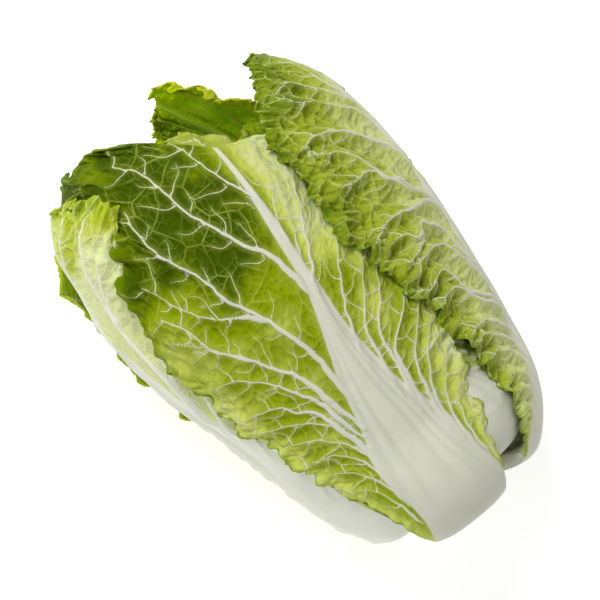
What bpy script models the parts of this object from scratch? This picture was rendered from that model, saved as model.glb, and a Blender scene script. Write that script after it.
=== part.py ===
"""A whole Chinese cabbage, cut from its root and lying on its side.

A short stem carries the leaves. They stand round it in whorls, so they lie in nested layers,
numbered inwards from 0, and never meet. A leaf is a thick white rib that thins towards the tip,
with a thin waved blade on both sides of it. Inside them is the heart, where the youngest leaves
are packed close together.

Metres, +Z up. +Y runs from the cut stem to the tips, and +X is on the right, seen from above. The
origin is on the table, under the middle of the head.
"""

import math

import bmesh
import bpy
import numpy as np

# The layers. A profile is a row of (distance from the head's own axis, height above the cut).
OUTER_PROFILE = np.array([
    (0.0275, 0.007), (0.0525, 0.004), (0.0740, 0.034), (0.0850, 0.074), (0.0945, 0.114),
    (0.1025, 0.152), (0.1060, 0.192), (0.1030, 0.232), (0.0890, 0.268), (0.0640, 0.292),
])
INNER_PROFILE = np.array([
    (0.0200, 0.056), (0.0300, 0.059), (0.0370, 0.076), (0.0410, 0.098), (0.0425, 0.124),
    (0.0430, 0.152), (0.0420, 0.180), (0.0380, 0.208), (0.0300, 0.234), (0.0190, 0.256),
])
INNER_LAYER = 7.4
FLATNESS = 0.83
ROUND_UP_TO = 0.012
FLAT_FROM = 0.060

# The head bends to the left towards its tips.
BEND = 0.009
BEND_FROM = 0.060
BEND_TO = 0.230

# How it lies: tips up a little, on a small flat that its weight presses in the lowest leaf.
PITCH = math.radians(6.1)
PRESSED = 0.0024

# Every leaf, as shares of its length and of its widest half width.
WIDEST_AT = 0.62
SIDE_SHARE = 0.54
TIP_ANGLE = math.radians(84)
EAR_AT = 0.80
EAR_WIDTH = 0.07
BLADE_THICKNESS = 0.0013
RIB_THICKNESS = 0.0084
THINNER_PER_LAYER = 0.00075
RIB_OUT = 0.62
RIB_HALF_WIDTH = 0.0235

# Where a side vein leaves the rib, by where it reaches the margin. Most leave close together,
# where the rib narrows, and spread from there like a fan.
VEIN_ENDS = np.array([0.0, 0.21, 0.29, 0.385, 0.46, 0.60, 0.77, 0.88, 0.95, 1.0])
VEIN_ROOTS = np.array([0.0, 0.215, 0.275, 0.325, 0.350, 0.385, 0.450, 0.60, 0.75, 0.97])

# Leaf by leaf, from the outside in. turn is the rib's place round the head at its base, with 0 on
# top and 90 on the right, and lean is how far the tip swings round from there. reach is the
# leaf's share of its layer's length, low and high are the half widths of the blade on its two
# sides, clasp is how far they reach round the stem, and swell tells how soon they widen (low is
# soon). blunt squares the tip, ear is a lobe beside it, slant makes one side longer, curl moves
# the tip in (-) or out (+), flare moves the high side's margin out, drop lowers the base, and
# wave is the ruffle of the blade.
LEAVES = (
    dict(name="right_leaf",
         turn=93, lean=-3, layer=0, reach=0.965, low=0.118, high=0.080, clasp=(0.33, 0.72),
         swell=0.80, blunt=1.00, ear=0.0, slant=-0.05, curl=-0.006, flare=0.0, drop=-0.003, wave=0.0024),
    dict(name="front_leaf",
         turn=-5, lean=19, layer=0.9, reach=0.915, low=0.0985, high=0.086, clasp=(0.49, 0.58),
         swell=1.7, blunt=0.60, ear=0.16, slant=-0.70, curl=0.0, flare=0.0, drop=0.009, wave=0.0019),
    dict(name="back_leaf",
         turn=186, lean=-6, layer=1, reach=0.97, low=0.080, high=0.110, clasp=(0.72, 0.72),
         swell=1.6, blunt=0.80, ear=0.0, slant=0.05, curl=0.012, flare=0.004, drop=0.0, wave=0.0022),
    dict(name="left_leaf",
         turn=-89, lean=-2, layer=2.1, reach=0.965, low=0.076, high=0.072, clasp=(0.72, 0.72),
         swell=1.8, blunt=0.90, ear=0.0, slant=-0.12, curl=0.018, flare=0.0, drop=0.003, wave=0.0018),
    dict(name="inner_right_leaf",
         turn=44, lean=4, layer=2.2, reach=0.86, low=0.064, high=0.070, clasp=(0.66, 0.72),
         swell=2.0, blunt=0.85, ear=0.0, slant=0.0, curl=-0.008, flare=0.0, drop=0.0, wave=0.0016),
    dict(name="inner_left_leaf",
         turn=-46, lean=-4, layer=3.5, reach=0.90, low=0.062, high=0.062, clasp=(0.72, 0.66),
         swell=2.0, blunt=0.85, ear=0.0, slant=0.0, curl=-0.004, flare=0.0, drop=0.0, wave=0.0015),
    dict(name="top_leaf",
         turn=138, lean=-12, layer=3.2, reach=1.10, low=0.064, high=0.042, clasp=(0.72, 0.72),
         swell=2.0, blunt=0.75, ear=0.0, slant=0.0, curl=-0.006, flare=0.0, drop=0.0, wave=0.0018),
    dict(name="inner_back_leaf",
         turn=226, lean=-8, layer=4.3, reach=1.04, low=0.060, high=0.062, clasp=(0.72, 0.72),
         swell=2.0, blunt=0.85, ear=0.0, slant=0.0, curl=0.0, flare=0.0, drop=0.0, wave=0.0016),
    dict(name="core_leaf_1",
         turn=0, lean=0, layer=5.4, reach=1.02, low=0.052, high=0.052, clasp=(0.72, 0.72),
         swell=2.0, blunt=0.80, ear=0.0, slant=0.0, curl=-0.004, flare=0.0, drop=0.0, wave=0.0014),
    dict(name="core_leaf_2",
         turn=180, lean=0, layer=5.4, reach=1.03, low=0.052, high=0.052, clasp=(0.72, 0.72),
         swell=2.0, blunt=0.80, ear=0.0, slant=0.0, curl=-0.004, flare=0.0, drop=0.0, wave=0.0014),
    dict(name="core_leaf_3",
         turn=92, lean=0, layer=6.5, reach=1.05, low=0.046, high=0.046, clasp=(0.72, 0.72),
         swell=2.0, blunt=0.80, ear=0.0, slant=0.0, curl=-0.004, flare=0.0, drop=0.0, wave=0.0012),
    dict(name="core_leaf_4",
         turn=-88, lean=0, layer=6.5, reach=1.07, low=0.046, high=0.046, clasp=(0.72, 0.72),
         swell=2.0, blunt=0.80, ear=0.0, slant=0.0, curl=-0.004, flare=0.0, drop=0.0, wave=0.0012),
)
FINE_LEAVES = 4
FULL_LEAVES = 8
VEINS = 11
CORE_VEINS = 7
FINE_COLUMNS = np.array([0, 0.07, 0.16, 0.28, 0.42, 0.58, 0.74, 0.88, 1.0])
FULL_COLUMNS = np.array([0, 0.09, 0.20, 0.36, 0.56, 0.78, 1.0])
CORE_COLUMNS = np.array([0, 0.10, 0.36, 0.66, 1.0])

# The stem: a turned row of (radius, height above the cut).
STEM = ((0, 0.0030), (0.0150, 0.0022), (0.0218, 0.0040), (0.0225, 0.0080), (0.0165, 0.0500),
        (0.0120, 0.0640), (0, 0.0660))

# The heart: an outer wall of leaf tips round a hollow, and the bud in it.
HEART_WALL = ((0, 0.0690), (0.0120, 0.0700), (0.0220, 0.0800), (0.0290, 0.1000), (0.0325, 0.1300),
              (0.0330, 0.1640), (0.0315, 0.1960), (0.0270, 0.2260), (0.0195, 0.2480))
HEART_INSIDE = ((0.0175, 0.2470), (0.0175, 0.2340), (0.0140, 0.2260), (0.0100, 0.2330),
                (0.0070, 0.2500), (0, 0.2570))
HEART_SIDES = 40
HEART_LEAVES = 5


def smooth_line(points, at):
    """Places on a smooth curve through evenly numbered points, at 0 to 1.

    Past its ends the curve runs straight on.
    """
    spans = len(points) - 1
    padded = np.vstack([2 * points[0] - points[1], points, 2 * points[-1] - points[-2]])
    place = np.asarray(at) * spans
    span = np.clip(np.floor(place).astype(int), 0, spans - 1)
    f = np.clip(place - span, 0, 1)[..., None]
    p0, p1, p2, p3 = (padded[span + n] for n in range(4))
    square = 0.5 * (2 * p0 - 5 * p1 + 4 * p2 - p3)
    cube = 0.5 * (3 * p1 - p0 - 3 * p2 + p3)
    slope = 0.5 * (p2 - p0)
    over = place[..., None] - span[..., None] - f
    end_slope = slope + 2 * square * f + 3 * cube * f ** 2
    return p1 + slope * f + square * f ** 2 + cube * f ** 3 + end_slope * over


def smooth_step(low, high, x):
    share = np.clip((x - low) / (high - low), 0, 1)
    return share * share * (3 - 2 * share)


def layer_profile(layer):
    """The profile that a layer's leaves follow, and its length from the stem at a row of places."""
    share = layer / INNER_LAYER
    points = OUTER_PROFILE * (1 - share) + INNER_PROFILE * share
    at = np.linspace(0, 1.3, 500)
    steps = np.diff(smooth_line(points, at), axis=0)
    return points, at, np.concatenate([[0], np.cumsum(np.hypot(*steps.T))])


def lying(x, height, z):
    """From the head's own axes to those of the head that lies down: bent, and tips up."""
    x = x - BEND * smooth_step(BEND_FROM, BEND_TO, height)
    y = height * math.cos(PITCH) - z * math.sin(PITCH)
    z = height * math.sin(PITCH) + z * math.cos(PITCH)
    return np.stack([x, y, z], -1)


def leaf_outline(u, v, leaf):
    """The margin from the base, at u 0, to the tip, at 1: share of the length, share of the half width."""
    side = np.clip(u / SIDE_SHARE, 0, 1)
    round_tip = np.clip((u - SIDE_SHARE) / (1 - SIDE_SHARE), 0, 1) * TIP_ANGLE
    along = WIDEST_AT * side + (1 - WIDEST_AT) * np.sin(round_tip) / math.sin(TIP_ANGLE)
    width = np.where(u < SIDE_SHARE, side ** leaf["swell"], np.cos(round_tip) ** leaf["blunt"])
    ear = leaf["ear"] * np.exp(-((u - EAR_AT) / EAR_WIDTH) ** 2)
    return along, width + np.where(v < 0, ear, 0)


def rib_share(x, t):
    """How much of the rib's full thickness a place has: 1 on the rib at the base, 0 out on the blade."""
    half = RIB_HALF_WIDTH * (1 - 0.90 * smooth_step(0.20, 0.55, x)) * (1 - 0.5 * smooth_step(0.5, 1.0, x))
    half = half * (1 + 0.25 * (1 - smooth_step(0.0, 0.25, x)))
    height = (1 - 0.72 * smooth_step(0.15, 0.60, x)) * (1 - 0.8 * smooth_step(0.6, 1.0, x))
    return height * np.exp(-(t / half) ** 4)


def leaf_faces(leaf, veins, columns):
    """The outer and the inner face of a leaf, as two grids of points alike.

    A row of the grid follows a side vein from the rib out to the margin, or the valley between
    two, so the blade's folds lie where the veins run.
    """
    points, at, lengths = layer_profile(leaf["layer"])
    length = leaf["reach"] * np.interp(1.0, at, lengths)
    u = np.linspace(0, 1, 2 * veins + 1)[:, None]
    v = np.concatenate([-columns[:0:-1], columns])[None, :]
    out = np.abs(v)
    widest = np.where(v < 0, leaf["low"], leaf["high"])
    along, width = leaf_outline(u, v, leaf)
    layer_radius = smooth_line(points, np.interp(length * along, lengths, at))[..., 0]
    clasp = np.where(v < 0, *leaf["clasp"]) * layer_radius
    half = np.where(u < SIDE_SHARE, clasp + (widest - clasp) * width, widest * width)
    root = np.interp(u, VEIN_ENDS, VEIN_ROOTS)
    t = np.sign(v) * half * out
    s = length * (root + (along - root) * out ** 0.85)
    s = s + leaf["slant"] * t * smooth_step(0.45, 0.9, s / length)

    line = smooth_line(points, np.interp(s, lengths, at))
    fold = np.cos(2 * np.pi * veins * u) * smooth_step(0.05, 0.5, out) * smooth_step(0, 0.15, u)
    relief = leaf["wave"] * fold * (0.35 + 0.65 * out ** 2)
    curl = leaf["curl"] * smooth_step(0.72, 1.10, s / length) ** 1.5
    flare = leaf["flare"] * np.where(v > 0, out ** 3, 0) * smooth_step(0.30, 0.60, u)
    radius = line[..., 0] + relief + curl + flare
    height = line[..., 1] - leaf["drop"] * (1 - smooth_step(0.0, 0.30, s / length))
    bend = np.radians(leaf["turn"] + leaf["lean"] * smooth_step(0.25, 0.85, s / length))
    angle = bend + t / np.maximum(line[..., 0], 0.030)
    squash = 1 - (1 - FLATNESS) * smooth_step(ROUND_UP_TO, FLAT_FROM, height)
    middle = lying(radius * np.sin(angle), height, radius * np.cos(angle) * squash)

    across = np.cross(np.gradient(middle, axis=1), np.gradient(middle, axis=0))
    normal = across / np.linalg.norm(across, axis=-1, keepdims=True)
    rib = (RIB_THICKNESS - THINNER_PER_LAYER * leaf["layer"]) * rib_share(s / length, t)
    outer = middle + normal * (BLADE_THICKNESS / 2 + RIB_OUT * rib)[..., None]
    inner = middle - normal * (BLADE_THICKNESS / 2 + (1 - RIB_OUT) * rib)[..., None]
    return outer, inner


def leaf_triangles(rows, columns):
    """The faces of a closed leaf: both grids, split alike, and the rim between them."""
    back = rows * columns
    faces = []
    for i in range(rows - 1):
        for j in range(columns - 1):
            a, b = i * columns + j, (i + 1) * columns + j
            halves = ((a, b, b + 1), (a, b + 1, a + 1))
            if j < columns // 2:
                halves = ((a, b, a + 1), (b, b + 1, a + 1))
            for half in halves:
                faces.append(half)
                faces.append(tuple(back + n for n in reversed(half)))
    rim = [i * columns for i in range(rows)]
    rim += [(rows - 1) * columns + j for j in range(1, columns)]
    rim += [i * columns + columns - 1 for i in range(rows - 2, -1, -1)]
    rim += [j for j in range(columns - 2, 0, -1)]
    for a, b in zip(rim, rim[1:] + rim[:1]):
        faces.append((b, a, back + a))
        faces.append((b, back + a, back + b))
    return faces


def ring_triangles(rings, sides):
    """The faces of a turned solid: a pole, rings of points, and the other pole."""
    last = rings * sides
    faces = []
    for j in range(sides):
        k = (j + 1) % sides
        faces.append((last, j, k))
        faces.append((last + 1, last - sides + k, last - sides + j))
        for i in range(rings - 1):
            a, b = i * sides, (i + 1) * sides
            faces.append((a + j, b + j, b + k))
            faces.append((a + j, b + k, a + k))
    return faces


def stem_points(sides):
    rings = [[(r * math.sin(a), h, r * math.cos(a)) for a in np.linspace(0, 2 * math.pi, sides, False)]
             for r, h in STEM[1:-1]]
    points = np.array(rings).reshape(-1, 3)
    poles = np.array([(0, STEM[0][1], 0), (0, STEM[-1][1], 0)])
    return lying(*np.vstack([points, poles]).T)


def heart_points():
    """The heart's rings. Five leaves wrap it, so each ring steps in where one goes under the next."""
    a = np.linspace(0, 2 * math.pi, HEART_SIDES, False)
    wrap = (a * HEART_LEAVES / (2 * math.pi)) % 1
    rings = []
    profile = [(r, h, 1) for r, h in HEART_WALL[1:]] + [(r, h, -1) for r, h in HEART_INSIDE[:-1]]
    for r, h, face in profile:
        twist = a + 0.9 * smooth_step(0.08, 0.24, h)
        lift = 0.012 * smooth_step(0.200, 0.230, h) * np.sin(np.pi * wrap) * (r > 0.012)
        step = 1 + 0.07 * (wrap - 0.5) * face
        rings.append(np.stack([r * step * np.sin(twist), h + lift, r * step * np.cos(twist)], -1))
    poles = np.array([(0, HEART_WALL[0][1], 0), (0, HEART_INSIDE[-1][1], 0)])
    points = np.vstack([np.concatenate(rings), poles])
    squash = 1 - (1 - FLATNESS) * smooth_step(ROUND_UP_TO, FLAT_FROM, points[:, 1])
    return lying(points[:, 0], points[:, 1], points[:, 2] * squash), len(rings)


def solid(name, points, faces, colour, roughness):
    """One closed object, facing out, with its own material."""
    mesh = bpy.data.meshes.new(name)
    mesh.from_pydata(points.tolist(), [], faces)
    work = bmesh.new()
    work.from_mesh(mesh)
    bmesh.ops.recalc_face_normals(work, faces=work.faces)
    work.to_mesh(mesh)
    work.free()
    material = bpy.data.materials.new(name)
    material.use_nodes = True
    shader = material.node_tree.nodes["Principled BSDF"]
    shader.inputs["Base Color"].default_value = (*colour, 1)
    shader.inputs["Roughness"].default_value = roughness
    mesh.materials.append(material)
    bpy.context.scene.collection.objects.link(bpy.data.objects.new(name, mesh))


def main():
    for stale in list(bpy.data.objects):
        bpy.data.objects.remove(stale)
    leaves = []
    for number, leaf in enumerate(LEAVES):
        if number < FINE_LEAVES:
            leaves.append(leaf_faces(leaf, VEINS, FINE_COLUMNS))
        elif number < FULL_LEAVES:
            leaves.append(leaf_faces(leaf, VEINS, FULL_COLUMNS))
        else:
            leaves.append(leaf_faces(leaf, CORE_VEINS, CORE_COLUMNS))

    everything = np.concatenate([face.reshape(-1, 3) for leaf in leaves for face in leaf])
    low, high = everything.min(axis=0), everything.max(axis=0)
    place = np.array([-(low[0] + high[0]) / 2, -(low[1] + high[1]) / 2, -low[2] - PRESSED])

    for leaf, (outer, inner) in zip(LEAVES, leaves):
        outer, inner = outer + place, inner + place
        thickness = np.linalg.norm(outer - inner, axis=-1)
        outer[..., 2] = np.maximum(outer[..., 2], 0)
        inner[..., 2] = np.maximum(inner[..., 2], thickness * 0.98)
        points = np.concatenate([outer.reshape(-1, 3), inner.reshape(-1, 3)])
        solid(leaf["name"], points, leaf_triangles(*outer.shape[:2]), (0.45, 0.60, 0.12), 0.45)
    stem = stem_points(24)
    solid("stem", stem + place, ring_triangles((len(stem) - 2) // 24, 24), (0.80, 0.80, 0.66), 0.6)
    heart, rings = heart_points()
    solid("heart", heart + place, ring_triangles(rings, HEART_SIDES), (0.75, 0.78, 0.35), 0.45)


main()
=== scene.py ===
import math

import bpy
import numpy as np
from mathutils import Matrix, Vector


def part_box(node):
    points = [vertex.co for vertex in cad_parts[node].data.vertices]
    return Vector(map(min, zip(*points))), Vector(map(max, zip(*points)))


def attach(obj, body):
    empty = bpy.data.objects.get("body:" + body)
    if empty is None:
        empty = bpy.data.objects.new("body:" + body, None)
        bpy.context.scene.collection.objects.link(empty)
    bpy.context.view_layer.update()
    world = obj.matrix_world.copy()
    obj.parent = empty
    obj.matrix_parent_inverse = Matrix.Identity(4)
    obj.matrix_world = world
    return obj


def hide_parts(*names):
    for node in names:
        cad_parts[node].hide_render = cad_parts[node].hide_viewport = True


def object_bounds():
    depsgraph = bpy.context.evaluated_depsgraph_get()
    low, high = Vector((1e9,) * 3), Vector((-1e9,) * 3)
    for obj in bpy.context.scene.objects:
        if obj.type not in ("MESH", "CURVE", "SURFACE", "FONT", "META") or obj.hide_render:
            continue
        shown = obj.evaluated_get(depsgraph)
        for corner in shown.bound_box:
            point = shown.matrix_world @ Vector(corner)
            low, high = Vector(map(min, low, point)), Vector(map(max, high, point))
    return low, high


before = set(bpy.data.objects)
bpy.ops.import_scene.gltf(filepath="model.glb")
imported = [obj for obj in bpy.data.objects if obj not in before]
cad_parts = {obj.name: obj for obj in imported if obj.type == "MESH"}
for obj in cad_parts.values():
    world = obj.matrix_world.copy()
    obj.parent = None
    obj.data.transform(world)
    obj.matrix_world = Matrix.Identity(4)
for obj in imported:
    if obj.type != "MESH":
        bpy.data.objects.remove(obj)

CAD_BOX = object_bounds()


# Camera and studio
# The head lies on a white table, and a camera with a long lens looks almost straight down on it.
# A large soft light stands beyond the tips, and white surroundings fill the shadows.
VIEW_AZIMUTH, VIEW_ELEVATION = -39.2, 84.0
VIEW_DISTANCE = 1.75
FRAME_SIDE = 0.3426
FRAME_SHIFT = (-0.0029, 0.0051)
SENSOR = 36.0
FLOOR_HALF = 3.0
FLOOR_GREY, FLOOR_GLOW = 0.78, 0.60
SURROUNDINGS = 0.36
WHITE = (1.0, 1.0, 1.0, 1)


def view_back(azimuth, elevation):
    """The direction from the object back to a camera at these angles, in degrees."""
    a, e = math.radians(azimuth), math.radians(elevation)
    return Vector((math.sin(a) * math.cos(e), -math.cos(a) * math.cos(e), math.sin(e)))


def add_object(name, data):
    made = bpy.data.objects.new(name, data)
    bpy.context.scene.collection.objects.link(made)
    return made


def new_material(name):
    """A new material and its shader."""
    material = bpy.data.materials.new(name)
    material.use_nodes = True
    return material, material.node_tree.nodes["Principled BSDF"]


def add_camera():
    low, high = (Vector(corner) for corner in CAD_BOX)
    back = view_back(VIEW_AZIMUTH, VIEW_ELEVATION)
    data = bpy.data.cameras.new("camera")
    data.sensor_width = SENSOR
    data.lens = SENSOR * VIEW_DISTANCE / FRAME_SIDE
    data.clip_end = 20.0
    camera = add_object("camera", data)
    turn = back.to_track_quat("Z", "Y")
    right, up = turn @ Vector((1, 0, 0)), turn @ Vector((0, 1, 0))
    middle = (low + high) / 2 + right * FRAME_SHIFT[0] + up * FRAME_SHIFT[1]
    camera.location = middle + back * VIEW_DISTANCE
    camera.rotation_euler = turn.to_euler()
    bpy.context.scene.camera = camera


def add_light(name, direction, distance, side, energy, colour):
    data = bpy.data.lights.new(name, "AREA")
    data.shape = "SQUARE"
    data.size = side
    data.energy = energy
    data.color = colour
    light = add_object(name, data)
    towards = Vector(direction).normalized()
    light.location = towards * distance
    light.rotation_euler = towards.to_track_quat("Z", "Y").to_euler()


def add_floor():
    mesh = bpy.data.meshes.new("floor")
    corners = [(x * FLOOR_HALF, y * FLOOR_HALF, 0) for x, y in ((-1, -1), (1, -1), (1, 1), (-1, 1))]
    mesh.from_pydata(corners, [], [(0, 1, 2, 3)])
    floor = add_object("floor", mesh)
    material, shader = new_material("floor")
    shader.inputs["Base Color"].default_value = (FLOOR_GREY, FLOOR_GREY, FLOOR_GREY, 1)
    shader.inputs["Roughness"].default_value = 0.9
    shader.inputs["Emission Color"].default_value = WHITE
    shader.inputs["Emission Strength"].default_value = FLOOR_GLOW
    mesh.materials.append(material)


def add_world():
    world = bpy.data.worlds.new("studio")
    world.use_nodes = True
    background = world.node_tree.nodes["Background"]
    background.inputs["Color"].default_value = WHITE
    background.inputs["Strength"].default_value = SURROUNDINGS
    bpy.context.scene.world = world
    bpy.context.scene.view_settings.view_transform = "Standard"


add_camera()
add_light("key", (0.12, 0.64, 1.10), distance=1.6, side=0.7, energy=14.0, colour=(1.0, 0.99, 0.97))
add_light("fill", (-0.9, -0.1, 0.8), distance=1.8, side=1.2, energy=5.5, colour=(0.97, 0.98, 1.0))
add_floor()
add_world()


# Right leaf
# The outermost leaf, round the right of the head: a thick white rib, thinning towards the tip,
# with a thin blade on both sides, crinkled between raised white veins and frilly at the margin.

# The leaves lie on shells round the head's own axis, numbered inwards from 0. A profile is a shell's
# radius and its height above the cut, from the stem to the tips.
OUTER_PROFILE = np.array([
    (0.0275, 0.007), (0.0525, 0.004), (0.0740, 0.034), (0.0850, 0.074), (0.0945, 0.114),
    (0.1025, 0.152), (0.1060, 0.192), (0.1030, 0.232), (0.0890, 0.268), (0.0640, 0.292),
])
INNER_PROFILE = np.array([
    (0.0200, 0.056), (0.0300, 0.059), (0.0370, 0.076), (0.0410, 0.098), (0.0425, 0.124),
    (0.0430, 0.152), (0.0420, 0.180), (0.0380, 0.208), (0.0300, 0.234), (0.0190, 0.256),
])
INNER_LAYER = 7.4
PROFILE_END, PROFILE_STEPS = 1.3, 500
# The stem in the same measures, with its poles on the axis first and last.
STEM = ((0, 0.0030), (0.0150, 0.0022), (0.0218, 0.0040), (0.0225, 0.0080), (0.0165, 0.0500),
        (0.0120, 0.0640), (0, 0.0660))
STEM_SIDES = 24
# The head is a little flat, bends to its left towards the tips, and lies with them raised.
FLATNESS, ROUND_UP_TO, FLAT_FROM = 0.83, 0.012, 0.060
BEND, BEND_FROM, BEND_TO = 0.009, 0.060, 0.230
PITCH = math.radians(6.1)
# Where along it a leaf is widest, which share of its rows ends on its sides, and how far round its
# tip the others reach.
WIDEST_AT, SIDE_SHARE, TIP_ANGLE = 0.62, 0.54, math.radians(84)
# Rows run like side veins. These are some of them, and where they leave the rib along the leaf.
ROWS_AT = np.array([0.0, 0.21, 0.29, 0.385, 0.46, 0.60, 0.77, 0.88, 0.95, 1.0])
ROW_ROOTS = np.array([0.0, 0.215, 0.275, 0.325, 0.350, 0.385, 0.450, 0.60, 0.75, 0.97])
BLADE_THICKNESS = 0.0010
RIB_THICKNESS, THINNER_PER_LAYER, RIB_OUT, RIB_HALF_WIDTH = 0.0084, 0.00075, 0.62, 0.0235
STRAND_HEIGHT, STRANDS = 0.00026, 15
# The margin's length for its roughness, its nicks (size, share), and its frill's waves (share, size,
# slide along from rib to margin, distance between the two sides, change across, seed).
ROUGH_LENGTH = 0.3
NICKS = ((0.016, 0.8), (0.007, 0.6), (0.0035, 0.45))
FRILL_WAVES = ((0.7, 0.019, 0.02, 0.3, 0.03, 1), (0.45, 0.008, 0.01, 0.5, 0.05, 2),
               (0.16, 0.0045, 0.02, 0.5, 0.08, 4))
# The net of veins: small cells to a large one, a cell's width to its length, and how it wanders.
FINE_NET, NET_SQUEEZE, NET_WARP, NET_WARP_SIZE = 2.6, 0.85, 0.0010, 0.026
EAR_WIDTH = 0.022
# Side veins end just inside the margin. Twigs have a half width at each end.
VEIN_PLACES, VEIN_REACH = 14, 0.97
TWIG_PLACES, TWIG_HALF, TWIG_END = 9, 0.00036, 0.00012
# How far round a vein its distance is worked out, and the most that it can be.
VEIN_SEARCH, VEIN_FAR = 0.012, 0.010

# What most leaves have. Places across are negative on a leaf's low side, positive on its high side.
# Each leaf also has its seed, layer, turn round the head in degrees, reach along its shell, widest
# half widths (low and high) and tone.
PLAIN_LEAF = dict(
    # How many degrees its tip leans round the head, and how far along its reach the blade goes.
    lean=0, cut=1.0,
    # Half widths at the base in radii of the shell, the curves of its sides and tip, and its slant.
    clasp=(0.72, 0.72), swell=2.0, blunt=0.85, slant=0.0,
    # Wider places (side, row, width, size), longer ones (across, size), and a longer middle.
    lobes=(), ears=(), full=0,
    # How far its tip, its sides (from a row on) and its foot stand out, and how far the foot drops.
    curl=0.0, flare=0.0, low_flare=0.0, flare_from=0.30, bulge=0.0, drop=0.0,
    # The relief of blade, cells and margin, and the width of a cell.
    wave=0.00112, pucker=0.0009, frill=0.0024, cell=0.0100,
    # Parts that veins along its rows divide these sides into, drawn veins, their half width
    # and height, and the spacing and reach of their twigs.
    veins=11, plain_sides=(-1, 1), drawn=(), vein=0.0015, raised=1.0, twigs=(0.011, 0.014),
    # The rib's middle and half width in millimetres at even places along it, and how sharp its edge is.
    middle=(0,) * 11, white=(27, 26, 25, 20, 13, 8, 5.5, 4.0, 3.0, 2.0, 1.0), sharp=0.6,
    # How much of the light goes into it.
    through=0.08,
)


def smooth_line(points, at):
    """Places at 0 to 1 on a smooth curve through evenly numbered points, and straight on past its ends."""
    spans = len(points) - 1
    padded = np.vstack([2 * points[0] - points[1], points, 2 * points[-1] - points[-2]])
    place = np.asarray(at) * spans
    span = np.clip(np.floor(place).astype(int), 0, spans - 1)
    f = np.clip(place - span, 0, 1)[..., None]
    p0, p1, p2, p3 = (padded[span + n] for n in range(4))
    square = 0.5 * (2 * p0 - 5 * p1 + 4 * p2 - p3)
    cube = 0.5 * (3 * p1 - p0 - 3 * p2 + p3)
    slope = 0.5 * (p2 - p0)
    end_slope = slope + 2 * square * f + 3 * cube * f ** 2
    beyond = (place - span)[..., None] - f
    return p1 + slope * f + square * f ** 2 + cube * f ** 3 + end_slope * beyond


def smooth_step(low, high, x):
    """From 0 at low to 1 at high, with soft ends. It falls where low is the larger number."""
    share = np.clip((x - low) / (high - low), 0, 1)
    return share * share * (3 - 2 * share)


def layer_profile(layer):
    """A shell's profile, and how long it is up to each of many places on it."""
    share = layer / INNER_LAYER
    points = OUTER_PROFILE * (1 - share) + INNER_PROFILE * share
    at = np.linspace(0, PROFILE_END, PROFILE_STEPS)
    steps = np.diff(smooth_line(points, at), axis=0)
    return points, at, np.concatenate([[0], np.cumsum(np.hypot(*steps.T))])


def lying(x, height, z):
    """From the head's own axes to those of the head that lies down: bent, and tips up."""
    x = x - BEND * smooth_step(BEND_FROM, BEND_TO, height)
    y = height * math.cos(PITCH) - z * math.sin(PITCH)
    z = height * math.sin(PITCH) + z * math.cos(PITCH)
    return np.stack([x, y, z], -1)


def find_place():
    """The shift from the head's own axes to the table, from the box of the stem, which is round."""
    low, high = (np.array(corner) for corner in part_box("stem"))
    ring = np.linspace(0, 2 * math.pi, STEM_SIDES, False)
    rings = [lying(r * np.sin(ring), np.full(STEM_SIDES, h), r * np.cos(ring)) for r, h in STEM[1:-1]]
    ends = [lying(np.zeros(1), np.array([h]), np.zeros(1)) for r, h in (STEM[0], STEM[-1])]
    points = np.concatenate(rings + ends)
    return (low + high) / 2 - (points.min(axis=0) + points.max(axis=0)) / 2


PLACE = find_place()


def waves(x, y, size, seed):
    """Soft noise between about -1 and 1, from seven crossing waves of about this size."""
    draw = np.random.default_rng(seed)
    total = 0
    for n in range(7):
        angle, phase = draw.uniform(0, math.pi), draw.uniform(0, 2 * math.pi)
        turns = 2 * math.pi / (size * draw.uniform(0.7, 1.5))
        total = total + np.sin(turns * (x * math.cos(angle) + y * math.sin(angle)) + phase)
    return total / math.sqrt(7)


def stirred(a, b, c):
    """The random number that Blender's own cell texture draws from three whole numbers."""
    for bits in (14, 11, 25, 16, 4, 14, 24):
        rolled = (b << np.uint32(bits)) | (b >> np.uint32(32 - bits))
        a, b, c = b, (c ^ b) - rolled, a
    return b / 0xFFFFFFFF


def cell_edges(x, y):
    """How far each place is from the nearest border of the cell texture, so that relief and colour agree."""
    far, seed_of_two, seed_of_three = 1e9, 0xDEADBF04, 0xDEADBF08
    corner_x, corner_y = np.floor(x), np.floor(y)
    near = np.full(x.shape, far)
    near_x, near_y = np.zeros_like(x), np.zeros_like(x)
    seeds = []
    for i, j in ((i, j) for j in (-1, 0, 1) for i in (-1, 0, 1)):
        kx, ky, one = (np.ascontiguousarray(v.astype(np.float32)).view(np.uint32)
                       for v in (corner_x + i, corner_y + j, np.ones(x.shape)))
        two, three = np.full(x.shape, seed_of_two, np.uint32), np.full(x.shape, seed_of_three, np.uint32)
        px = i + stirred(two + kx, two + ky, two) + corner_x - x
        py = j + stirred(three + kx, three + ky, three + one) + corner_y - y
        seeds.append((px, py))
        closer = np.hypot(px, py) < near
        near = np.where(closer, np.hypot(px, py), near)
        near_x, near_y = np.where(closer, px, near_x), np.where(closer, py, near_y)
    edge = np.full(x.shape, far)
    for px, py in seeds:
        dx, dy = px - near_x, py - near_y
        gap = np.hypot(dx, dy)
        away = ((px + near_x) * dx + (py + near_y) * dy) / 2 / np.maximum(gap, 1e-6)
        edge = np.where(gap > 0.01, np.minimum(edge, away), edge)
    return edge


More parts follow.
